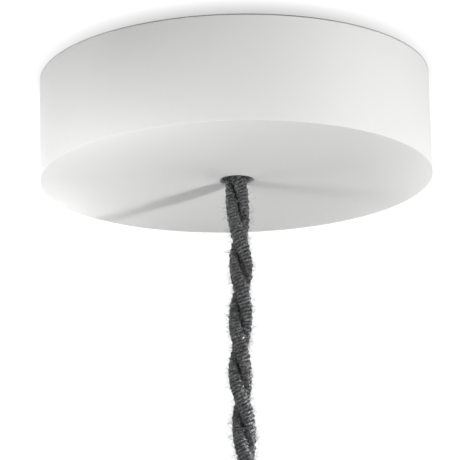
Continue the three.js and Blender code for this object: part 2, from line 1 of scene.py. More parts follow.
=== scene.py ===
# %% [markdown]
# # A turned wooden ceiling canopy
#
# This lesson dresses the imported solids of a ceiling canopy: a white painted wooden cup that hides the
# cable joint of a pendant lamp, with a twisted textile cord hanging out of it. The solids are already at
# their real size and place, so nothing here moves them, and their meshes stay as they are. Each step says
# what the piece is on the real object, how it could be made in Blender, and why it is made the way it is.

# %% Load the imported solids
import json
import math

import bmesh
import bpy
import numpy as np
from mathutils import Matrix, Vector


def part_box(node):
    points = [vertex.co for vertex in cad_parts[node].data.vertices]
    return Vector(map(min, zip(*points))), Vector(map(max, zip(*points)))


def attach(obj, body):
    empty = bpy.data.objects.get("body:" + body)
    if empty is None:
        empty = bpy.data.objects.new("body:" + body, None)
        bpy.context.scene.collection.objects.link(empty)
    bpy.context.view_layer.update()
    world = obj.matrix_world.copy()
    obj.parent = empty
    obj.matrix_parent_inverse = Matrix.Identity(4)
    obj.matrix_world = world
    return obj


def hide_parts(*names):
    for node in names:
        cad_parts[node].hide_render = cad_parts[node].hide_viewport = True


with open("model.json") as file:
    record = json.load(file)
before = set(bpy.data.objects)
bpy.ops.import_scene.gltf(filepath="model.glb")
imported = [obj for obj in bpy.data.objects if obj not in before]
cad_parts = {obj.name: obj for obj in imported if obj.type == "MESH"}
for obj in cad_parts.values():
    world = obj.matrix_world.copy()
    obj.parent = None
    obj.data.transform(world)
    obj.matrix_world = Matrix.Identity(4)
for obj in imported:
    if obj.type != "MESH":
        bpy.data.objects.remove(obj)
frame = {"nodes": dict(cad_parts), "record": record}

MM = 0.001
FULL_TURN = 2 * math.pi
BODY = "root"
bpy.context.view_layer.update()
cup_low, cup_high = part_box("canopy_cup")
cup_radius = cup_high.x
cup_bottom = cup_low.z

# %% [markdown]
# ## The camera
#
# A photograph fixes its camera by the shape of the circles in it. The cup's two rims are circles of one
# size, and how much each is flattened, and how much smaller the far one is, gives the distance, the height
# and the focal length together. The camera could also be pushed about by eye, but then the cup's
# perspective would never be quite right.

# %% Camera at the photograph's viewing angle
PHOTO_SIDE_PX = 460
FOCAL_PX = 2647
SENSOR_MM = 36
NEAREST_SEEN = 0.01
FARTHEST_SEEN = 50
CAMERA_DISTANCE = 0.8108
CAMERA_BELOW = math.radians(16.56)
AIM_TURN = math.radians(0.17)
AIM_TILT = math.radians(-1.07)
AIM_ROLL = math.radians(1.40)


def make_camera():
    """Aimed at the middle of the cup's floor, then turned, tilted and rolled a little about its own axes."""
    right = Vector((1, 0, 0))
    back = Vector((0, -math.cos(CAMERA_BELOW), -math.sin(CAMERA_BELOW)))
    place = Vector((0, 0, cup_bottom)) + CAMERA_DISTANCE * back
    turn = Matrix((right, back.cross(right), back)).transposed()
    for axis, angle in (("Y", AIM_TURN), ("X", AIM_TILT), ("Z", -AIM_ROLL)):
        turn = turn @ Matrix.Rotation(angle, 3, axis)
    lens = bpy.data.cameras.new("photo_camera")
    lens.sensor_width = SENSOR_MM
    lens.lens = FOCAL_PX / PHOTO_SIDE_PX * SENSOR_MM
    lens.clip_start, lens.clip_end = NEAREST_SEEN, FARTHEST_SEEN
    camera = bpy.data.objects.new("photo_camera", lens)
    camera.matrix_world = Matrix.Translation(place) @ turn.to_4x4()
    bpy.context.scene.camera = camera
    bpy.context.scene.collection.objects.link(camera)


make_camera()

# %% [markdown]
# ## Small helpers
#
# Three things are done again and again below: points become a mesh object, a Geometry Nodes result becomes
# a plain mesh, and a piece gets its material and slot. Live instances would be lost outside Blender, so
# every node tree ends as real faces.


# %% Helpers for pieces
def link(item):
    bpy.context.scene.collection.objects.link(item)
    return item


def mesh_piece(name, vertices, faces, edges=()):
    data = bpy.data.meshes.new(name)
    data.from_pydata([tuple(v) for v in vertices], edges, faces)
    return link(bpy.data.objects.new(name, data))


def bmesh_piece(name, made):
    data = bpy.data.meshes.new(name)
    made.to_mesh(data)
    made.free()
    return link(bpy.data.objects.new(name, data))


def path_piece(name, points, sideways, girth):
    """An open line for a node tree. Its points store which way is sideways and how stout the path is."""
    piece = mesh_piece(name, points, [], [(i, i + 1) for i in range(len(points) - 1)])
    ways = piece.data.attributes.new("sideways", "FLOAT_VECTOR", "POINT")
    ways.data.foreach_set("vector", np.array(sideways, float).ravel())
    sizes = piece.data.attributes.new("girth", "FLOAT", "POINT")
    sizes.data.foreach_set("value", np.array(girth, float).ravel())
    return piece


def baked(name, source):
    """The evaluated object as a plain mesh object of its own; the source is removed."""
    bpy.context.view_layer.update()
    shown = source.evaluated_get(bpy.context.evaluated_depsgraph_get())
    data = bpy.data.meshes.new_from_object(shown)
    data.name = name
    bpy.data.objects.remove(source)
    return link(bpy.data.objects.new(name, data))


def joined(name, parts):
    """Several mesh objects as one, each with its one material."""
    made = bmesh.new()
    materials = list(dict.fromkeys(part.data.materials[0] for part in parts))
    for part in parts:
        first = len(made.faces)
        made.from_mesh(part.data)
        made.faces.ensure_lookup_table()
        for face in made.faces[first:]:
            face.material_index = materials.index(part.data.materials[0])
    piece = bmesh_piece(name, made)
    for material in materials:
        piece.data.materials.append(material)
    for part in parts:
        bpy.data.objects.remove(part)
    return piece


def smooth(piece, sharp_degrees):
    """Rounded shading, with real edges kept where faces meet at more than the given angle."""
    piece.data.shade_smooth()
    piece.data.set_sharp_from_angle(angle=math.radians(sharp_degrees))
    return piece


def dress(piece, material):
    piece.data.materials.clear()
    piece.data.materials.append(material)
    return piece


# %% [markdown]
# ## Node trees in code
#
# A node tree is a list of nodes and of wires between them. It is easier to read when a node's inputs are
# given where the node is made, so these helpers take a value or another node's output for each input and
# wire it up. They serve the Geometry Nodes trees and the shader trees alike.


# %% Helpers for node trees
LEVEL = (1.0, 1.0, 0.0)
WHITE = (1.0, 1.0, 1.0)
MIDDLE_GREY = (0.5, 0.5, 0.5)


def spaced(values):
    """Socket labels have spaces where keywords have underscores."""
    return {label.replace("_", " "): value for label, value in values.items()}


class Tree:
    """A thin wrapper that makes a node and fills its inputs in one call."""

    def __init__(self, tree):
        self.tree = tree

    def named(self, kind, inputs, **settings):
        """A node with its inputs given by name, or by place where names repeat. Gives all its outputs."""
        node = self.tree.nodes.new(kind)
        for name, value in settings.items():
            setattr(node, name, value)
        for key, value in inputs.items():
            if value is not None:
                self.feed(node.inputs[key], value)
        return node.outputs

    def add(self, kind, *inputs, out=0, **settings):
        """A node with its inputs given in order. Gives one output."""
        return self.named(kind, dict(enumerate(inputs)), **settings)[out]

    def feed(self, socket, value):
        if isinstance(value, bpy.types.NodeSocket):
            self.tree.links.new(value, socket)
        else:
            socket.default_value = value

    def math(self, operation, *inputs):
        return self.add("ShaderNodeMath", *inputs, operation=operation)

    def plus(self, first, second):
        return self.math("ADD", first, second)

    def minus(self, first, second):
        return self.math("SUBTRACT", first, second)

    def times(self, first, second):
        return self.math("MULTIPLY", first, second)

    def over(self, first, second):
        return self.math("DIVIDE", first, second)

    def vector(self, operation, *inputs, out=0):
        return self.add("ShaderNodeVectorMath", *inputs, operation=operation, out=out)

    def scaled(self, vector, factor):
        return self.named("ShaderNodeVectorMath", {0: vector, "Scale": factor}, operation="SCALE")[0]

    def noise(self, place, scale, detail=2.0, seed=None):
        """Noise at a place, which a seed shifts. Gives its outputs, a number and a colour."""
        inputs = {"Vector": place, "W": seed, "Scale": scale, "Detail": detail}
        return self.named("ShaderNodeTexNoise", inputs, noise_dimensions="3D" if seed is None else "4D")

    def ranged(self, value, new, old=(0.0, 1.0)):
        """The value, moved from one range to another."""
        limits = {"From Min": old[0], "From Max": old[1], "To Min": new[0], "To Max": new[1]}
        return self.named("ShaderNodeMapRange", {"Value": value, **limits})[0]

    def object_place(self):
        return self.named("ShaderNodeTexCoord", {})["Object"]

    def round_radius(self, place):
        """How far a place lies from the upright axis."""
        return self.vector("LENGTH", self.vector("MULTIPLY", place, LEVEL), out=1)


def geometry_group(name, **sockets):
    """An empty Geometry Nodes tree with inputs listed by kind, its helper and its input sockets."""
    group = bpy.data.node_groups.new(name, "GeometryNodeTree")
    for kind, labels in {"Geometry": ["Geometry"], **sockets, "Material": ["Material"]}.items():
        for label in labels:
            group.interface.new_socket(label, in_out="INPUT", socket_type="NodeSocket" + kind)
    group.interface.new_socket("Geometry", in_out="OUTPUT", socket_type="NodeSocketGeometry")
    start = group.nodes.new("NodeGroupInput")
    return group, Tree(group), start.outputs


def close_geometry(tree, geometry, material):
    """Every tree ends alike: real faces, with their material."""
    real = tree.add("GeometryNodeRealizeInstances", geometry)
    tree.named("NodeGroupOutput", {0: tree.add("GeometryNodeSetMaterial", real, None, material)})


def run_group(name, source, group, **values):
    """Runs a Geometry Nodes tree on an object and returns the result as a plain mesh object."""
    modifier = source.modifiers.new(group.name, "NODES")
    modifier.node_group = group
    sockets = {item.name: item.identifier for item in group.interface.items_tree if item.in_out == "INPUT"}
    for label, value in spaced(values).items():
        modifier[sockets[label]] = value
    return baked(name, source)


# %% [markdown]
# ## Effects that several finishes share
#
# Paint, metal, plastic and wood all break up a little when looked at closely. That is one effect at
# several scales, so it is one node group: noise in the object's own coordinates, stretched along a
# direction where the finish has one. A second group draws the fine rings that a lathe tool leaves round
# the cup's axis. Both put out only a tone or a height, and each material decides what to do with them.


# %% Shared shader groups
WAVER_SCALE = 90.0


def shader_group(name, inputs, outputs):
    group = bpy.data.node_groups.new(name, "ShaderNodeTree")
    for label, kind, value in inputs:
        socket = group.interface.new_socket(label, in_out="INPUT", socket_type="NodeSocket" + kind)
        socket.default_value = value
    for label in outputs:
        group.interface.new_socket(label, in_out="OUTPUT", socket_type="NodeSocketFloat")
    start = group.nodes.new("NodeGroupInput")
    end = group.nodes.new("NodeGroupOutput")
    return group, Tree(group), start.outputs, end.inputs


def make_speckle():
    """Noise whose cells are given in millimetres along each axis; Tone lies about 0.5 and Height about 0."""
    inputs = [("Cell mm", "Vector", (1.0, 1.0, 1.0)), ("Contrast", "Float", 1.0), ("Detail", "Float", 3.0)]
    group, tree, start, end = shader_group("speckle", inputs, ["Tone", "Height"])
    in_mm = tree.scaled(tree.object_place(), 1 / MM)
    cells = tree.vector("DIVIDE", in_mm, start["Cell mm"])
    noise = tree.noise(cells, 1.0, start["Detail"])[0]
    height = tree.times(tree.minus(noise, 0.5), start["Contrast"])
    tree.feed(end["Tone"], tree.plus(height, 0.5))
    tree.feed(end["Height"], height)
    return group


def make_tool_rings():
    """Fine rings about the cup's axis, as a turning tool leaves them."""
    inputs = [("Ring mm", "Float", 0.8), ("Waver", "Float", 0.3)]
    group, tree, start, end = shader_group("tool_rings", inputs, ["Height"])
    place = tree.object_place()
    depth = tree.add("ShaderNodeSeparateXYZ", place, out=2)
    travel = tree.plus(tree.round_radius(place), depth)
    turns = tree.over(tree.over(travel, MM), start["Ring mm"])
    noise = tree.noise(place, WAVER_SCALE)[0]
    shifted = tree.plus(turns, tree.times(noise, start["Waver"]))
    tree.feed(end["Height"], tree.math("SINE", tree.times(shifted, FULL_TURN)))
    return group


speckle_group = make_speckle()
rings_group = make_tool_rings()

# %% [markdown]
# ## Finishes
#
# Each finish starts from a Principled surface. Numbers that are the same all over are set on its own
# sockets; only what changes over the surface is wired in, such as a roughness that varies or a bump.


# %% Helpers for finishes
class Finish:
    """One material: its tree helper, its Principled node, and short calls for the shared groups."""

    def __init__(self, name, colour, roughness, **fixed):
        self.material = bpy.data.materials.new(name)
        self.material.use_nodes = True
        self.tree = Tree(self.material.node_tree)
        self.shader = self.material.node_tree.nodes["Principled BSDF"]
        self.shader.inputs["Base Color"].default_value = (*colour, 1.0)
        self.shader.inputs["Roughness"].default_value = roughness
        for label, value in spaced(fixed).items():
            self.shader.inputs[label].default_value = value

    def group(self, group, out, **values):
        return self.tree.named("ShaderNodeGroup", spaced(values), node_tree=group)[out]

    def speckle(self, cell_mm, contrast=1.0, detail=3.0, out="Tone"):
        cell = (cell_mm,) * 3 if isinstance(cell_mm, (int, float)) else cell_mm
        return self.group(speckle_group, out, Cell_mm=cell, Contrast=contrast, Detail=detail)

    def mixed(self, tone, first, second):
        """A colour between two others; either may be a plain colour or another node's output."""
        first, second = ((*value, 1.0) if isinstance(value, tuple) else value for value in (first, second))
        return self.tree.named("ShaderNodeMix", {0: tone, 6: first, 7: second}, data_type="RGBA")[2]

    def bump(self, height, depth_mm, after=None):
        """A bump whose height of 1 stands for the given depth."""
        inputs = {"Distance": depth_mm * MM, "Height": height, "Normal": after}
        return self.tree.named("ShaderNodeBump", inputs)[0]

    def wire(self, label, value):
        self.tree.feed(self.shader.inputs[label], value)


# %% [markdown]
# ## The finishes of the fittings
#
# The bracket and the screws are zinc-plated steel, the terminals are turned brass, the terminal block and
# the clamp are nylon as it comes from the mould, and the cores have smooth PVC insulation. None of them
# shows in the photograph, but they are seen as soon as the canopy is taken off the ceiling and looked
# into. The solids stay as they are, and only their objects' material slots get the finish.


# %% Metal, nylon and insulation
def make_cloudy(name, dark, light, cloud, roughness, relief, depth_mm, **fixed):
    """A clouded finish under a fine relief. Cloud and relief each give cell size, contrast and detail."""
    finish = Finish(name, light, roughness[0], **fixed)
    tone = finish.speckle(*cloud)
    finish.wire("Base Color", finish.mixed(tone, dark, light))
    finish.wire("Roughness", finish.tree.ranged(tone, roughness))
    finish.wire("Normal", finish.bump(finish.speckle(*relief), depth_mm))
    return finish.material


def make_moulded(name, dark, light, roughness):
    """Moulded nylon or PVC: nearly even colour under a faintly pebbled skin."""
    limits = (roughness - 0.06, roughness + 0.08)
    return make_cloudy(name, dark, light, (3.5, 1.1, 2.0), limits, (0.35, 1.0, 2.0), 0.02)


STREAKS = (9.0, 0.25, 0.25)
STEEL = ((0.50, 0.51, 0.54), (0.74, 0.74, 0.73), (2.2, 1.2, 4.0), (0.24, 0.46), (STREAKS, 1.0, 2.0))
BRASS = ((0.60, 0.42, 0.17), (0.80, 0.62, 0.32), (1.6, 1.2, 3.0), (0.2, 0.38), (0.3,))
TIN = ((0.60, 0.52, 0.44), (0.74, 0.73, 0.71), (0.9, 1.3, 3.0), (0.22, 0.4), (0.9, 1.3, 3.0))
FITTING_FINISHES = {
    "zinc_steel": make_cloudy("zinc_plated_steel", *STEEL, 0.012, Metallic=1.0),
    "brass": make_cloudy("turned_brass", *BRASS, 0.006, Metallic=1.0),
    "tinned_copper": make_cloudy("tinned_copper", *TIN, 0.01, Metallic=1.0),
    "natural_nylon": make_moulded("natural_nylon", (0.62, 0.59, 0.51), (0.74, 0.72, 0.64), 0.46),
    "black_nylon": make_moulded("black_nylon", (0.012, 0.012, 0.013), (0.022, 0.022, 0.024), 0.42),
    "brown_core": make_moulded("brown_insulation", (0.10, 0.035, 0.017), (0.15, 0.055, 0.028), 0.34),
    "blue_core": make_moulded("blue_insulation", (0.018, 0.085, 0.26), (0.03, 0.13, 0.36), 0.34),
}
SHARP_DEGREES = 35
WELD_DISTANCE = 0.001 * MM
slot_of = {row["node"]: row["material_slot"] for row in frame["record"]["subparts"]}
for node, kind in slot_of.items():
    if kind in FITTING_FINISHES:
        for slot in frame["nodes"][node].material_slots:
            slot.material = FITTING_FINISHES[kind]

# %% [markdown]
# ## The cord grip, with rounded shading
#
# A solid's mesh is loose triangles, so it can't be shaded smoothly, and it has to stay as it is. The grip
# hangs below the cup in plain view, where its 16 flat sides would show. So a merged and smoothly shaded
# copy of it is shown in its place, and the same is done with its screw.


# %% Merged copies of the grip and its screw
def round_copy(node, name):
    """A smoothly shaded piece in place of a solid, whose own mesh stays as it is."""
    made = bmesh.new()
    made.from_mesh(frame["nodes"][node].data)
    bmesh.ops.remove_doubles(made, verts=made.verts, dist=WELD_DISTANCE)
    piece = bmesh_piece(name, made)
    normals = piece.data.attributes.get("custom_normal")
    if normals:
        piece.data.attributes.remove(normals)
    dress(piece, FITTING_FINISHES[slot_of[node]])
    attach(piece, BODY)
    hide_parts(node)
    return smooth(piece, SHARP_DEGREES)


round_grip = round_copy("cord_grip", "round_cord_grip")
round_grip_screw = round_copy("cord_grip_screw", "round_cord_grip_screw")

# %% [markdown]
# ## Painted wood
#
# The cup is turned from solid wood and sprayed with a matt white paint. Outside, the paint hides all but a
# trace of the grain. Inside, nobody sees it once it hangs, so the wood is left bare: pale beech with tool
# rings, and a mist of overspray just inside the rim. Two materials on two sets of faces would give a hard
# line between them. One material that asks how deep inside the cup a point lies gives the soft edge of
# real overspray.

# %% Sizes of the cup and its finish
WALL = 8 * MM
FLOOR = 9 * MM
BORE_RADIUS = 5.25 * MM
INNER_CORNER = 3 * MM
OUTER_EDGE = 0.12 * MM
RIM_EDGE = 0.5 * MM
BORE_EDGE = 0.3 * MM
PAINT = (0.80, 0.80, 0.795)
BARE_WOOD = (0.56, 0.36, 0.19)
BARE_WOOD_DARK = (0.42, 0.24, 0.11)
OVERSPRAY_REACH = 5 * MM
INSIDE_MARGIN = 0.2 * MM
PAINT_FAINT = 0.985


def make_painted_wood():
    finish = Finish("painted_turned_wood", PAINT, 0.5, Specular_IOR_Level=0.3)
    tree = finish.tree
    place = tree.object_place()
    depth = tree.times(tree.add("ShaderNodeSeparateXYZ", place, out=2), -1.0)
    within_wall = tree.math("LESS_THAN", tree.round_radius(place), cup_radius - WALL + INSIDE_MARGIN)
    above_floor = tree.math("LESS_THAN", depth, -cup_bottom - FLOOR + INSIDE_MARGIN)
    inside = tree.times(within_wall, above_floor)
    mist = finish.speckle(0.7, 1.6, 4.0)
    reach = tree.times(mist, 2 * OVERSPRAY_REACH)
    bare = tree.math("GREATER_THAN", depth, reach)
    shown_wood = tree.times(inside, bare)

    grain = finish.speckle((24.0, 0.7, 0.7), 1.5, 5.0)
    pores = finish.speckle((3.0, 0.12, 0.12), 2.0, 2.0)
    wood = finish.mixed(grain, BARE_WOOD_DARK, BARE_WOOD)
    roller = finish.speckle(0.45, 1.0, 3.0, "Height")
    cloud = finish.speckle(16.0, 1.0, 2.0)
    paint = finish.mixed(cloud, tuple(PAINT_FAINT * c for c in PAINT), PAINT)
    finish.wire("Base Color", finish.mixed(shown_wood, paint, wood))
    paint_roughness = tree.ranged(cloud, (0.46, 0.54))
    finish.wire("Roughness", tree.ranged(shown_wood, (paint_roughness, 0.72)))

    paint_share = tree.minus(1.0, shown_wood)
    telegraphed = finish.bump(tree.times(grain, paint_share), 0.006)
    skin = finish.bump(tree.times(roller, paint_share), 0.004, telegraphed)
    turned = finish.group(rings_group, "Height", Ring_mm=0.7, Waver=0.6)
    rings = finish.bump(tree.times(turned, shown_wood), 0.012, skin)
    finish.wire("Normal", finish.bump(tree.times(pores, shown_wood), 0.03, rings))
    return finish.material


painted_wood = make_painted_wood()

# %% [markdown]
# ## The cup
#
# A turned piece is an outline swept round an axis. It could be spun in edit mode or drawn with a Screw
# modifier. Here a Geometry Nodes tree does it, because the rule is short: the tree lays a grid with one
# column for each point of the outline, reads that point's radius and height, and swings the column round.
# Where the grid's ends meet, the doubled points are merged.

# %% A tree that turns an outline into a round piece
SEAM_DISTANCE = 1e-6
DOUBLE_DISTANCE = 1e-7
FILLET_STEPS = 6


def make_lathe_tree():
    group, tree, start = geometry_group("lathe", Int=["Outline points", "Sides"])
    columns = tree.plus(start["Sides"], 1.0)
    grid = tree.add("GeometryNodeMeshGrid", 1.0, 1.0, start["Outline points"], columns)
    index = tree.add("GeometryNodeInputIndex")
    column = tree.math("FLOOR", tree.over(tree.plus(index, 0.5), columns))
    step = tree.minus(index, tree.times(column, columns))
    inputs = {"Geometry": start["Geometry"], "Value": tree.add("GeometryNodeInputPosition"), "Index": column}
    outline = tree.named("GeometryNodeSampleIndex", inputs, data_type="FLOAT_VECTOR")[0]
    radius, _, z = tree.named("ShaderNodeSeparateXYZ", {0: outline})
    angle = tree.times(tree.over(step, start["Sides"]), FULL_TURN)
    x = tree.times(radius, tree.math("COSINE", angle))
    y = tree.times(radius, tree.math("SINE", angle))
    swung = tree.add("GeometryNodeSetPosition", grid, None, tree.add("ShaderNodeCombineXYZ", x, y, z))
    merged = tree.named("GeometryNodeMergeByDistance", {0: swung, "Distance": SEAM_DISTANCE})[0]
    close_geometry(tree, merged, start["Material"])
    return group


lathe_tree = make_lathe_tree()


def turned_piece(name, outline, sides, material):
    """A closed outline of (radius, z) points, swept round the Z axis."""
    points = [(radius, 0.0, z) for radius, z in [*outline, outline[0]]]
    source = mesh_piece(name + "_outline", points, [])
    piece = run_group(name, source, lathe_tree, Outline_points=len(points), Sides=sides, Material=material)
    work = bmesh.new()
    work.from_mesh(piece.data)
    bmesh.ops.remove_doubles(work, verts=work.verts, dist=DOUBLE_DISTANCE)
    bmesh.ops.dissolve_degenerate(work, edges=work.edges, dist=DOUBLE_DISTANCE)
    bmesh.ops.recalc_face_normals(work, faces=work.faces)
    work.to_mesh(piece.data)
    work.free()
    return piece


def arc(radius, z, size, start_degrees, end_degrees):
    """Points of a fillet, for an outline."""
    turn = end_degrees - start_degrees
    angles = [math.radians(start_degrees + turn * i / FILLET_STEPS) for i in range(FILLET_STEPS + 1)]
    return [(radius + size * math.cos(a), z + size * math.sin(a)) for a in angles]


# %% [markdown]
# ## Turning and drilling the cup
#
# The outline runs down the inside, through the bore, under the floor and up the outside, with a small
# radius or chamfer at each edge. The lower outer edge is sharper than the solid's, as the thin bright line
# in the photograph asks. The screw holes are cut afterwards with booleans, as a drill would cut them.

# %% Turn the cup and drill it
CUP_SIDES = 256
SIDE_SCREW_Z = -12.5 * MM
SIDE_HOLE_RADIUS = 2.3 * MM
SIDE_RECESS_RADIUS = 4 * MM
SIDE_RECESS_DEPTH = 3.4 * MM
FLOOR_SCREW_X = 14.5 * MM
FLOOR_HOLE_RADIUS = 1.8 * MM
FLOOR_HOLE_END = 2 * MM
DRILL_SIDES = 48
DRILL_OVERRUN = 1 * MM


def drill(piece, radius, start, end):
    """Cuts a round hole between two points."""
    start, end = Vector(start), Vector(end)
    work = bmesh.new()
    length = (end - start).length
    turn = Vector((0, 0, 1)).rotation_difference(end - start).to_matrix().to_4x4()
    place = Matrix.Translation((start + end) / 2) @ turn
    shape = dict(cap_ends=True, segments=DRILL_SIDES, radius1=radius, radius2=radius, depth=length)
    bmesh.ops.create_cone(work, matrix=place, **shape)
    tool = bmesh_piece("drill", work)
    cut = piece.modifiers.new("drill", "BOOLEAN")
    cut.operation = "DIFFERENCE"
    cut.solver = "EXACT"
    cut.object = tool
    name = piece.name
    piece.name = name + "_before"
    drilled = baked(name, piece)
    bpy.data.objects.remove(tool)
    return drilled


def make_cup():
    inner = cup_radius - WALL
    floor_top = cup_bottom + FLOOR
    outline = [
        (inner + RIM_EDGE, 0.0),
        (inner, -RIM_EDGE),
        *arc(inner - INNER_CORNER, floor_top + INNER_CORNER, INNER_CORNER, 0, -90),
        (BORE_RADIUS + BORE_EDGE, floor_top),
        (BORE_RADIUS, floor_top - BORE_EDGE),
        *arc(BORE_RADIUS + BORE_EDGE, cup_bottom + BORE_EDGE, BORE_EDGE, 180, 270),
        *arc(cup_radius - OUTER_EDGE, cup_bottom + OUTER_EDGE, OUTER_EDGE, -90, 0),
        *arc(cup_radius - RIM_EDGE, -RIM_EDGE, RIM_EDGE, 0, 90),
    ]
    cup = turned_piece("painted_cup", outline, CUP_SIDES, painted_wood)
    for side in (-1, 1):
        out = side * (cup_radius + DRILL_OVERRUN)
        recess_floor = side * (cup_radius - SIDE_RECESS_DEPTH)
        through = side * (inner - DRILL_OVERRUN)
        cup = drill(cup, SIDE_RECESS_RADIUS, (recess_floor, 0, SIDE_SCREW_Z), (out, 0, SIDE_SCREW_Z))
        cup = drill(cup, SIDE_HOLE_RADIUS, (through, 0, SIDE_SCREW_Z), (out, 0, SIDE_SCREW_Z))
        x = side * FLOOR_SCREW_X
        top = floor_top + DRILL_OVERRUN
        cup = drill(cup, FLOOR_HOLE_RADIUS, (x, 0, cup_bottom + FLOOR_HOLE_END), (x, 0, top))
    return smooth(cup, SHARP_DEGREES)


cup = make_cup()
dress(cup, painted_wood)
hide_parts("canopy_cup")
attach(cup, BODY)

# %% [markdown]
# ## The cord's route
#
# The cord is two textile-covered strands twisted round each other, S-wise, so the front strand runs down
# to the right. It hangs from the clamp inside the cup, through the bore, and is held taut by the lamp
# below, with the slight wobble that a twisted cord keeps. The centreline repeats the points of the solid.
# How far the twist has turned at each height is read off the photograph, from the places where one strand
# lies straight in front of the other, so the twist is as uneven as the real one.

# %% Centreline, twist and strands
ABOVE_FLOOR = 0.3 * MM
ABOVE_CLAMP = 0.9 * MM
CLAMP_FLOOR = cup_bottom + FLOOR + ABOVE_FLOOR
CORD_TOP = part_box("cord_clamp_base")[1].z + ABOVE_CLAMP
STRAND_OFFSET = 1.6 * MM
ROUTE_MM = [
    (-0.35, 0.2, -30), (0.0, 0.3, -38), (0.3, 0.3, -46), (0.55, 0.1, -54), (0.65, -0.1, -62),
    (0.45, -0.3, -70), (0.05, -0.3, -78), (-0.25, -0.2, -86), (-0.35, 0.0, -94), (0.1, 0.2, -102),
    (0.4, 0.3, -110), (0.7, 0.2, -118), (0.7, 0.1, -126), (0.5, 0.0, -134), (0.4, 0.0, -142),
    (0.4, 0.0, -151),
]
ROUTE = [(0, 0, CORD_TOP), (0, 0, CLAMP_FLOOR), *[tuple(v * MM for v in point) for point in ROUTE_MM]]
# Height in mm, against half turns of the twist; at whole numbers the strands stand one behind the other.
TWIST = [
    (-11.3, -1.5), (-18.6, -1), (-29.6, 0), (-51.0, 1), (-66.8, 2), (-84.3, 3), (-100.9, 4), (-118.8, 5),
    (-136.0, 6), (-153.0, 7),
]
STRAND_STEP = 0.25 * MM
GIRTH_WOBBLE = 0.015
GIRTH_WAVE = 1.7 * MM
SECOND_WAVE = 0.43
GIRTH_SHIFTS = (0.4, 2.1)


def smooth_through(places, values, wanted):
    """A cubic line through the given values, with the slope at each place taken from its neighbours."""
    order = np.argsort(places)
    x, y = np.array(places, float)[order], np.array(values, float)[order]
    slope = np.gradient(y, x)
    at = np.clip(np.searchsorted(x, wanted) - 1, 0, len(x) - 2)
    step = x[at + 1] - x[at]
    t = (wanted - x[at]) / step
    near = (2 * t**3 - 3 * t**2 + 1) * y[at] + (t**3 - 2 * t**2 + t) * step * slope[at]
    far = (3 * t**2 - 2 * t**3) * y[at + 1] + (t**3 - t**2) * step * slope[at + 1]
    return near + far


route_z = [point[2] for point in ROUTE]
count = int((route_z[0] - route_z[-1]) / STRAND_STEP)
heights = np.linspace(route_z[0], route_z[-1], count)
centre_x, centre_y = (smooth_through(route_z, [point[i] for point in ROUTE], heights) for i in (0, 1))
half_turns = smooth_through([z * MM for z, _ in TWIST], [turn for _, turn in TWIST], heights)
centreline = np.stack([centre_x, centre_y, heights], axis=1)
phase = math.pi / 2 + math.pi * half_turns
sideways = np.stack([np.cos(phase), np.sin(phase), np.zeros(count)], axis=1)
strand_lines = [centreline + STRAND_OFFSET * sideways, centreline - STRAND_OFFSET * sideways]
wave = heights / GIRTH_WAVE
strand_girth = [
    1.0 + GIRTH_WOBBLE * (np.sin(wave + shift) + np.sin(SECOND_WAVE * wave + 2 * shift))
    for shift in GIRTH_SHIFTS
]
strand_length = float(np.linalg.norm(np.diff(strand_lines[0], axis=0), axis=1).sum())

# %% [markdown]
# ## The textile finish
#
# The yarn is a rough, linen-like grey: dark overall, with paler hairs lying in it. The patches and the
# fine streaks are noise in the cord's own coordinates, the streaks at the scale of single hairs. A sheen
# could stand for the fuzz, but it lights the cord's edges evenly, so the fuzz is real fibres further down.


# %% Yarn and fibre finishes
STREAK_DARK = 0.4


def make_yarn(name, dark, pale):
    finish = Finish(name, dark, 0.5, Specular_IOR_Level=0.42)
    hairs = finish.speckle((0.42, 0.42, 0.28), 4.0, 2.0)
    patches = finish.speckle(1.5, 2.6, 3.0)
    body = finish.mixed(patches, dark, pale)
    finish.wire("Base Color", finish.mixed(hairs, tuple(STREAK_DARK * c for c in dark), body))
    finish.wire("Normal", finish.bump(hairs, 0.09))
    return finish.material


yarn = make_yarn("grey_linen_yarn", (0.043, 0.044, 0.046), (0.262, 0.2655, 0.273))
# The filling's near-black colour is painted shade: it darkens the grooves between the ribs.
groove_shade_filling = make_yarn("filling_with_painted_groove_shade", (0.02, 0.02, 0.021), (0.04, 0.04, 0.042))
loose_fibre = make_yarn("loose_fibre", (0.05, 0.05, 0.05), (0.15, 0.15, 0.15))

# %% [markdown]
# ## Winding a yarn round a path
#
# Each strand's cover is a rib cover: two thick yarns lie side by side and wind round and round, and thin
# yarns run lengthwise through them, over one rib and under the next. Modelling that by hand would take
# thousands of points, but it is one rule, so one Geometry Nodes tree winds any number of yarns at any
# pitch along a path. The path's points store which way is sideways, because the two strands press against
# each other there and are flatter on that side. The same tree cuts the screw threads further down: a
# thread is a yarn with four sides.

# %% A tree that winds yarns along a path
SHAKE_SCALE = 900.0
SHAKE_DETAIL = 1.5


def path_reading(tree, line, along, name, kind):
    """What the path stores under a name, and its place and direction, at a share of its length."""
    stored = tree.named("GeometryNodeInputNamedAttribute", {"Name": name}, data_type=kind)[0]
    inputs = {"Curves": line, "Value": stored, "Factor": along}
    path = tree.named("GeometryNodeSampleCurve", inputs, data_type=kind, mode="FACTOR", use_all_curves=True)
    return path["Value"], path["Position"], path["Tangent"]


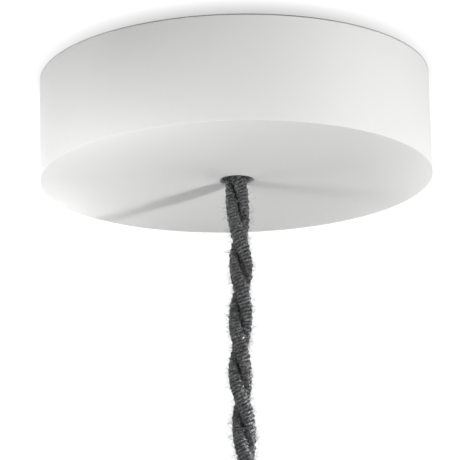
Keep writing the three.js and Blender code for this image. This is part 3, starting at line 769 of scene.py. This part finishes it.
def make_winding_tree():
    numbers = ["Turns", "Lay radius", "Lay width", "Pressed flat", "Yarn radius", "Waves", "Wave step"]
    numbers += ["Wave height", "Unevenness", "Thick and thin", "Seed"]
    group, tree, start = geometry_group("winding", Int=["Yarns", "Points", "Yarn sides"], Float=numbers)
    line = tree.add("GeometryNodeCurvePrimitiveLine")
    dense = tree.named("GeometryNodeResampleCurve", {0: line, "Count": start["Points"]})[0]
    inputs = {"Geometry": dense, "Amount": start["Yarns"]}
    copies = tree.named("GeometryNodeDuplicateElements", inputs, domain="SPLINE")
    copy = copies["Duplicate Index"]
    along = tree.add("GeometryNodeSplineParameter")

    line = tree.add("GeometryNodeMeshToCurve", start["Geometry"])
    way, place, tangent = path_reading(tree, line, along, "sideways", "FLOAT_VECTOR")
    girth = path_reading(tree, line, along, "girth", "FLOAT")[0]
    across = tree.vector("NORMALIZE", tree.vector("CROSS_PRODUCT", tangent, way))
    sideways = tree.vector("CROSS_PRODUCT", across, tangent)

    waves = tree.times(start["Waves"], along)
    steps = tree.times(start["Wave step"], copy)
    swing = tree.math("COSINE", tree.times(tree.plus(waves, steps), math.pi))
    lift = tree.times(swing, start["Wave height"])
    radius = tree.times(tree.plus(start["Lay radius"], lift), girth)

    turn = tree.times(start["Turns"], along)
    share = tree.over(copy, start["Yarns"])
    angle = tree.times(tree.plus(turn, share), FULL_TURN)
    outer_part = tree.times(tree.math("COSINE", angle), radius)
    pressed = tree.times(tree.math("MINIMUM", outer_part, 0.0), start["Pressed flat"])
    first = tree.scaled(sideways, tree.minus(outer_part, pressed))
    wide = tree.times(radius, start["Lay width"])
    second = tree.scaled(across, tree.times(tree.math("SINE", angle), wide))
    wound = tree.vector("ADD", place, tree.vector("ADD", first, second))

    noise = tree.noise(wound, SHAKE_SCALE, SHAKE_DETAIL, start["Seed"])
    shake = tree.vector("SUBTRACT", noise["Color"], MIDDLE_GREY)
    placed = tree.vector("ADD", wound, tree.scaled(shake, start["Unevenness"]))
    swell = tree.times(tree.minus(noise[0], 0.5), start["Thick and thin"])
    thickness = tree.times(tree.plus(swell, 1.0), girth)

    laid = tree.add("GeometryNodeSetPosition", copies["Geometry"], None, placed)
    sized = tree.add("GeometryNodeSetCurveRadius", laid, None, thickness)
    inputs = {"Resolution": start["Yarn sides"], "Radius": start["Yarn radius"]}
    section = tree.named("GeometryNodeCurvePrimitiveCircle", inputs)[0]
    body = tree.named("GeometryNodeCurveToMesh", {0: sized, 1: section, "Fill Caps": True})[0]
    close_geometry(tree, body, start["Material"])
    return group


winding_tree = make_winding_tree()

# %% [markdown]
# ## The woven cover
#
# The winding tree runs three times on each strand: for a plain filling, whose near-black colour is painted
# shade in the grooves between the ribs, for the two thick yarns, and for the thin lengthwise ones. The pitch
# and the yarns' sizes are read off the photograph. The lengthwise yarns are a piece of their own, so that
# each piece stays well below the limit of triangles.

# %% Weave the cover of both strands
RIB_YARNS = 2
RIB_PITCH = 1.05 * MM
RIB_LAY_RADIUS = 1.45 * MM
RIB_STEP = 0.42 * MM
LENGTHWISE_YARNS = 8
LENGTHWISE_STEP = 0.26 * MM
SEED_STEP = 10.0
COVER_SHARP_DEGREES = 80
cord_turns = (TWIST[-1][1] - TWIST[0][1]) / 2
rib_turns = strand_length / (RIB_YARNS * RIB_PITCH) + cord_turns
rib_length = rib_turns * math.hypot(FULL_TURN * RIB_LAY_RADIUS, RIB_YARNS * RIB_PITCH)
shape = dict(Lay_width=1.14, Pressed_flat=0.2, Unevenness=0.42 * MM, Thick_and_thin=1.3)
WEAVE = {
    "ribs": dict(
        shape, Yarns=RIB_YARNS, Points=int(rib_length / RIB_STEP), Turns=rib_turns,
        Lay_radius=RIB_LAY_RADIUS, Yarn_radius=0.5 * MM, Yarn_sides=6,
    ),
    "lengthwise": dict(
        shape, Yarns=LENGTHWISE_YARNS, Points=int(strand_length / LENGTHWISE_STEP),
        Lay_radius=1.64 * MM, Yarn_radius=0.19 * MM, Yarn_sides=5, Waves=strand_length / RIB_PITCH,
        Wave_step=1.0 - RIB_YARNS / LENGTHWISE_YARNS, Wave_height=0.32 * MM,
    ),
    "filling": dict(
        Yarns=1, Points=int(strand_length / RIB_PITCH), Lay_width=1.0, Yarn_radius=1.4 * MM, Yarn_sides=14,
    ),
}


def weave(kind, strand, **changed):
    """One kind of yarn on one strand, as a mesh object."""
    outward = sideways * (1 if strand == 0 else -1)
    path = path_piece("strand_path", strand_lines[strand], outward, strand_girth[strand])
    # The filling takes the near-black material, whose colour is painted shade in the grooves.
    material = groove_shade_filling if kind == "filling" else yarn
    values = {**WEAVE[kind], **changed}
    return run_group(kind, path, winding_tree, **values, Seed=SEED_STEP * strand, Material=material)


def make_cover(name, kinds):
    cover = joined(name, [weave(kind, strand) for strand in range(2) for kind in kinds])
    return smooth(cover, COVER_SHARP_DEGREES)


twisted_cord = make_cover("twisted_cord", ["filling", "ribs"])
lengthwise_yarns = make_cover("lengthwise_yarns", ["lengthwise"])

# %% [markdown]
# ## Loose fibres
#
# Linen sheds. Around the dark cord the photograph shows a pale halo of single hairs, which stand out up to
# 3 mm, grow in tufts, and are fewer near the cup. A particle system could grow them, but it would be lost
# outside Blender, so instances are scattered and made real. Each hair is one bent line with a three-sided
# section.

# %% A tree that scatters bent hairs over a surface
TUFT_SCALE = 260.0
TUFT_NOISE = (0.38, 0.7)
TUFT_SHARE = (0.15, 2.2)
HAIR_POINTS = 5
HAIR_SIDES = 3
HAIR_LEAN = 1.25
SHORTEST_HAIR = 0.2
CURL_SCALE = 700.0


def make_hair_tree():
    numbers = ["Hairs per square metre", "Share above", "Upper level", "Lower level"]
    numbers += ["Length", "Thickness", "Curl"]
    group, tree, start = geometry_group("loose_hairs", Float=numbers, Int=["Seed"])
    place = tree.add("GeometryNodeInputPosition")
    levels = (start["Upper level"], start["Lower level"])
    height = tree.add("ShaderNodeSeparateXYZ", place, out=2)
    worn = tree.ranged(height, (start["Share above"], 1.0), levels)
    crowded = tree.ranged(tree.noise(place, TUFT_SCALE, 1.0)[0], TUFT_SHARE, TUFT_NOISE)
    density = tree.times(tree.times(crowded, worn), start["Hairs per square metre"])
    inputs = {"Mesh": start["Geometry"], "Density": density, "Seed": start["Seed"]}
    roots = tree.named("GeometryNodeDistributePointsOnFaces", inputs, distribute_method="RANDOM")

    tip = tree.add("ShaderNodeCombineXYZ", 0.0, 0.0, start["Length"])
    hair = tree.add("GeometryNodeCurvePrimitiveLine", None, tip)
    dense = tree.named("GeometryNodeResampleCurve", {0: hair, "Count": HAIR_POINTS})[0]
    most = Vector((HAIR_LEAN, HAIR_LEAN, math.pi))
    inputs = {"Min": -most, "Max": most, "Seed": start["Seed"]}
    lean = tree.named("FunctionNodeRandomValue", inputs, data_type="FLOAT_VECTOR")[0]
    turned = tree.add("FunctionNodeRotateRotation", roots["Rotation"], lean, rotation_space="LOCAL")
    inputs = {2: SHORTEST_HAIR, 3: 1.0, "Seed": start["Seed"]}
    size = tree.named("FunctionNodeRandomValue", inputs, data_type="FLOAT")[1]
    inputs = {"Points": roots["Points"], "Instance": dense, "Rotation": turned, "Scale": size}
    planted = tree.named("GeometryNodeInstanceOnPoints", inputs)[0]

    real = tree.add("GeometryNodeRealizeInstances", planted)
    noise = tree.noise(tree.add("GeometryNodeInputPosition"), CURL_SCALE, 0.0)
    sway = tree.vector("SUBTRACT", noise["Color"], MIDDLE_GREY)
    reach = tree.times(tree.add("GeometryNodeSplineParameter"), start["Curl"])
    curled = tree.add("GeometryNodeSetPosition", real, None, None, tree.scaled(sway, reach))
    inputs = {0: HAIR_SIDES, "Radius": start["Thickness"]}
    section = tree.named("GeometryNodeCurvePrimitiveCircle", inputs)[0]
    close_geometry(tree, tree.add("GeometryNodeCurveToMesh", curled, section), start["Material"])
    return group


hair_tree = make_hair_tree()

# %% [markdown]
# ## Growing the fibres
#
# Hairs that start on the ribs themselves would also start on their hidden backs and poke out sideways. So
# they start on a plain tube just inside the ribs' tops, which is thrown away afterwards. Each strand gets
# its own seed, so that the two don't look alike.

# %% Grow the fibres out of the cover
FIBRE_SEED = 7
FIBRE_GROUND_RADIUS = 1.72 * MM
FIBRES = dict(Hairs_per_square_metre=3500000.0, Share_above=0.3, Upper_level=-40 * MM, Lower_level=-62 * MM)
FIBRES.update(Length=3.2 * MM, Thickness=0.016 * MM, Curl=3.4 * MM)


def make_fibres(name, strand):
    ground = weave("filling", strand, Yarn_radius=FIBRE_GROUND_RADIUS)
    grown = run_group(name, ground, hair_tree, **FIBRES, Seed=FIBRE_SEED + strand, Material=loose_fibre)
    return dress(grown, loose_fibre)


first_fibres = make_fibres("loose_fibres_first", 0)
second_fibres = make_fibres("loose_fibres_second", 1)

# %% [markdown]
# ## The cord's pieces
#
# The twisted cord stands in for the solids' plain tube, which is hidden. Its cover, its lengthwise yarns
# and its fibres are attached to the body, as the grip already is.

# %% Attach the cord's pieces and hide the plain tube
for piece in (twisted_cord, lengthwise_yarns, first_fibres, second_fibres):
    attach(piece, BODY)
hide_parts("pendant_cord")

# %% [markdown]
# ## Screw threads
#
# The screws' solids have plain shanks, because a fine thread would cost thousands of faces and changes
# nothing in how they fit. Seen from close by, a screw without a thread looks like a pin. Each thread here
# is the winding tree once more: one yarn with four sides, sunk into the shank so that only its ridge
# stands out. The wood screws' threads run on down to the point, which the path's girth makes slimmer.

# %% Cut the threads
THREAD_SIDES = 4
THREAD_POINTS_PER_TURN = 24
PATH_STEPS_PER_TURN = 6
SHORT_OF_TIP = 0.2 * MM
POINTED_END = 0.35
BLUNT_END = 0.8
LEAST_POINT_TURNS = 2
RIDGE_SHARE = 0.4
# Each screw's head, plain part, shank and point, then its thread's pitch and ridge, all in millimetres.
SCREWS_MM = {
    "ceiling": (2.6, 4.0, 4, 5, 1.7, 0.4),
    "side": (2.4, 0.6, 4, 0, 0.7, 0.2),
    "floor": (2.0, 3.2, 3, 2.5, 1.3, 0.2),
    "clamp": (2.0, 0.3, 3, 0, 0.5, 0.2),
}


def thread(screw, tip_way, head_mm, plain_mm, shank_mm, point_mm, pitch_mm, ridge_mm):
    """A thread from just short of a screw's tip to the plain part under its head."""
    steel = FITTING_FINISHES["zinc_steel"]
    tip_way = Vector(tip_way)
    pitch = pitch_mm * MM
    low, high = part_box(screw)
    half_length = abs((high - low).dot(tip_way)) / 2
    end = (low + high) / 2 + tip_way * (half_length - SHORT_OF_TIP)
    seat = (low + high) / 2 - tip_way * (half_length - (head_mm + plain_mm) * MM)
    length = (seat - end).length
    side = tip_way.orthogonal().normalized()
    steps = int(length / pitch) * PATH_STEPS_PER_TURN
    points = [end.lerp(seat, step / steps) for step in range(steps + 1)]
    point = max(point_mm * MM, LEAST_POINT_TURNS * pitch)
    slimmest = POINTED_END if point_mm else BLUNT_END
    girth = [min(1.0, slimmest + (1 - slimmest) * (place - end).length / point) for place in points]
    half = max(RIDGE_SHARE * pitch, ridge_mm * MM)
    piece = run_group(
        screw.replace("screw", "thread"),
        path_piece("thread_path", points, [side] * len(points), girth),
        winding_tree,
        Yarns=1, Points=int(length / pitch * THREAD_POINTS_PER_TURN), Turns=length / pitch,
        Lay_radius=shank_mm * MM / 2 + ridge_mm * MM - half, Lay_width=1.0,
        Yarn_radius=half, Yarn_sides=THREAD_SIDES, Material=steel,
    )
    dress(piece, steel)
    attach(piece, BODY)


def cut_threads():
    for side, word in ((-1, "left"), (1, "right")):
        tip_ways = {"ceiling": (0, 0, 1), "side": (-side, 0, 0), "floor": (0, 0, -1), "clamp": (0, 1, 0)}
        for kind, tip_way in tip_ways.items():
            thread(f"{kind}_screw_{word}", tip_way, *SCREWS_MM[kind])


cut_threads()

# %% [markdown]
# ## Ceiling and floor
#
# The canopy is photographed from below against a ceiling so bright that it is plain white, apart from a
# soft shadow round the cup, wide before and behind it and narrow beside it, and darkest in the joint. A
# real white plane would need as much light as the cup, and would throw it back at the cup. So the ceiling
# shows the camera a white that this ring of shade darkens, and reflects less to every other ray. It is
# seen from below only, and has a round gap under the cup, so that the fittings can be looked at from
# above. The pale floor far below is made the same way.

# %% Stage
CEILING_HALF = 3.0
CEILING_GAP = cup_radius - 3 * MM
CEILING_LEVEL = 0.2 * MM
CEILING_SIDES = 128
CEILING_BOUNCE = 0.3
CEILING_SEEN = 1.1
# Each value before and behind the cup, then beside it.
SHADE_SEEN = (0.6, 0.93)
SHADE_IN_GAP = (0.2, 0.6)
SHADE_WIDTH = (14.7 * MM, 3 * MM)
FLOOR_LEVEL = -1.6
FLOOR_HALF = 6.0
FLOOR_BOUNCE = 0.5
FLOOR_SEEN = 0.93
MIRRORED_SHARE = 0.45


def seen_directly(tree):
    """1 for a camera ray, a share for a ray that mirrors the surface, and 0 for one that only lights."""
    rays = tree.named("ShaderNodeLightPath", {})
    mirrored = tree.times(rays["Is Glossy Ray"], MIRRORED_SHARE)
    return tree.math("MAXIMUM", rays["Is Camera Ray"], mirrored)


def make_backdrop(name, bounce):
    """A surface that glows towards the camera and reflects a plain share of light to everything else."""
    finish = Finish(name, WHITE, 0.9, Specular_IOR_Level=0.0)
    shown = seen_directly(finish.tree)
    finish.wire("Base Color", finish.mixed(shown, (bounce,) * 3, (0.0, 0.0, 0.0)))
    finish.shader.inputs["Emission Color"].default_value = (*WHITE, 1.0)
    return finish, shown


def make_ceiling_material():
    finish, shown = make_backdrop("ceiling_white", CEILING_BOUNCE)
    tree = finish.tree
    place = tree.object_place()
    radius = tree.round_radius(place)
    facing = tree.over(tree.add("ShaderNodeSeparateXYZ", place, out=1), radius)
    share = tree.times(facing, facing)

    def around(values):
        before, beside = values
        return tree.plus(tree.times(share, before - beside), beside)

    away = tree.over(tree.minus(radius, cup_radius), around(SHADE_WIDTH))
    ramp = tree.ranged(away, (around(SHADE_SEEN), CEILING_SEEN))
    in_gap = tree.math("LESS_THAN", radius, cup_radius)
    deeper = tree.minus(around(SHADE_IN_GAP), around(SHADE_SEEN))
    glow = tree.plus(ramp, tree.times(in_gap, deeper))
    finish.wire("Emission Strength", tree.times(glow, shown))
    clear = tree.add("ShaderNodeBsdfTransparent")
    back = tree.named("ShaderNodeNewGeometry", {})["Backfacing"]
    shadow = tree.named("ShaderNodeLightPath", {})["Is Shadow Ray"]
    open_part = tree.math("MAXIMUM", back, tree.times(shadow, in_gap))
    both = tree.add("ShaderNodeMixShader", open_part, finish.shader.outputs[0], clear)
    output = next(node for node in tree.tree.nodes if node.type == "OUTPUT_MATERIAL")
    tree.feed(output.inputs["Surface"], both)
    return finish.material


def make_ceiling():
    angles = [FULL_TURN * i / CEILING_SIDES for i in range(CEILING_SIDES)]
    radii = (CEILING_GAP, CEILING_HALF)
    corners = [(r * math.cos(a), r * math.sin(a), CEILING_LEVEL) for r in radii for a in angles]
    faces = []
    for i in range(CEILING_SIDES):
        j = (i + 1) % CEILING_SIDES
        faces.append((i, j, CEILING_SIDES + j, CEILING_SIDES + i))
    ceiling = mesh_piece("ceiling", corners, faces)
    ceiling.data.materials.append(make_ceiling_material())
    return ceiling


def make_floor():
    signs = ((-1, -1), (1, -1), (1, 1), (-1, 1))
    corners = [(FLOOR_HALF * x, FLOOR_HALF * y, FLOOR_LEVEL) for x, y in signs]
    floor = mesh_piece("floor", corners, [(0, 1, 2, 3)])
    finish, shown = make_backdrop("floor_pale", FLOOR_BOUNCE)
    finish.wire("Emission Strength", finish.tree.times(shown, FLOOR_SEEN))
    floor.data.materials.append(finish.material)
    return floor


make_ceiling()
make_floor()

# %% [markdown]
# ## Lamps
#
# Two lamps draw the cord's shadows on the cup: a small one at the near right makes the crisp shadow that
# runs to the far left, and a wider one at the near left makes the faint one. The rest of the light is
# soft. On the left it comes from lamps close to the cup, because the wall there is dark under the ceiling
# and bright at its lower edge, and only a near lamp gives such a steep change. A tall strip lamp lights
# the cord's right side and stays clear of the cup. One lamp behind and one above light what the photograph
# does not show. The strengths were found by rendering each lamp alone and comparing the sum with the
# photograph.


# %% Lamps and sky
CUP_MIDDLE = Vector((0.0, 0.0, -30 * MM))


def lamp(name, azimuth_degrees, below_degrees, distance, width, height, watts):
    """A soft lamp aimed at the cup. Azimuth 0 is at the camera's side, and 90 at +X."""
    a, e = math.radians(azimuth_degrees), math.radians(below_degrees)
    way = Vector((math.sin(a) * math.cos(e), -math.cos(a) * math.cos(e), -math.sin(e)))
    data = bpy.data.lights.new(name, "AREA")
    data.shape = "RECTANGLE"
    data.size = width
    data.size_y = height
    data.energy = watts
    item = bpy.data.objects.new(name, data)
    turn = way.to_track_quat("Z", "Y").to_matrix().to_4x4()
    item.matrix_world = Matrix.Translation(CUP_MIDDLE + distance * way) @ turn
    item.visible_camera = False
    return link(item)


# Each lamp's azimuth and angle below the horizon in degrees, distance, width and height in metres, watts.
LAMPS = {
    "crisp_near_right": (46, 31, 0.50, 0.03, 0.03, 1.35),
    "wide_near_left": (-62, 36, 0.45, 0.10, 0.10, 0.435),
    "close_near_left": (-40, 22, 0.13, 0.06, 0.06, 0.0545),
    "close_left": (-80, 5, 0.13, 0.06, 0.06, 0.0205),
    "close_far_left": (-115, 12, 0.11, 0.04, 0.04, 0.0555),
    "level_near_right": (50, 5, 0.35, 0.15, 0.15, 0.39),
    "level_far_right": (115, 5, 0.16, 0.08, 0.08, 0.051),
    "low_far_right": (140, 20, 0.16, 0.08, 0.08, 0.0755),
    "behind": (180, -2, 0.35, 0.40, 0.02, 0.25),
    "above": (0, -89, 0.40, 0.25, 0.25, 1.6),
}
for name, values in LAMPS.items():
    lamp(name, *values)

STRIP_LAMP = (97, 33, 0.145, 0.02, 0.06, 0.024)
STRIP_SPREAD = 40


def strip_lamp():
    """A tall lamp with a grid in front, level with the cord. Its narrow beam stays below the cup."""
    item = lamp("strip_right_of_cord", *STRIP_LAMP)
    way = item.matrix_world.translation * Vector((1.0, 1.0, 0.0))
    turn = way.to_track_quat("Z", "Y").to_matrix().to_4x4()
    item.matrix_world = Matrix.Translation(item.matrix_world.translation) @ turn
    item.data.spread = math.radians(STRIP_SPREAD)


strip_lamp()

SKY_LIGHT = 0.05
SKY_SEEN = 0.95


def make_sky():
    world = bpy.data.worlds.new("pale_room")
    world.use_nodes = True
    tree = Tree(world.node_tree)
    shown = tree.times(seen_directly(tree), SKY_SEEN - SKY_LIGHT)
    background = world.node_tree.nodes["Background"]
    background.inputs["Color"].default_value = (*WHITE, 1.0)
    tree.feed(background.inputs["Strength"], tree.plus(shown, SKY_LIGHT))
    bpy.context.scene.world = world


make_sky()
bpy.context.scene.view_settings.view_transform = "Standard"
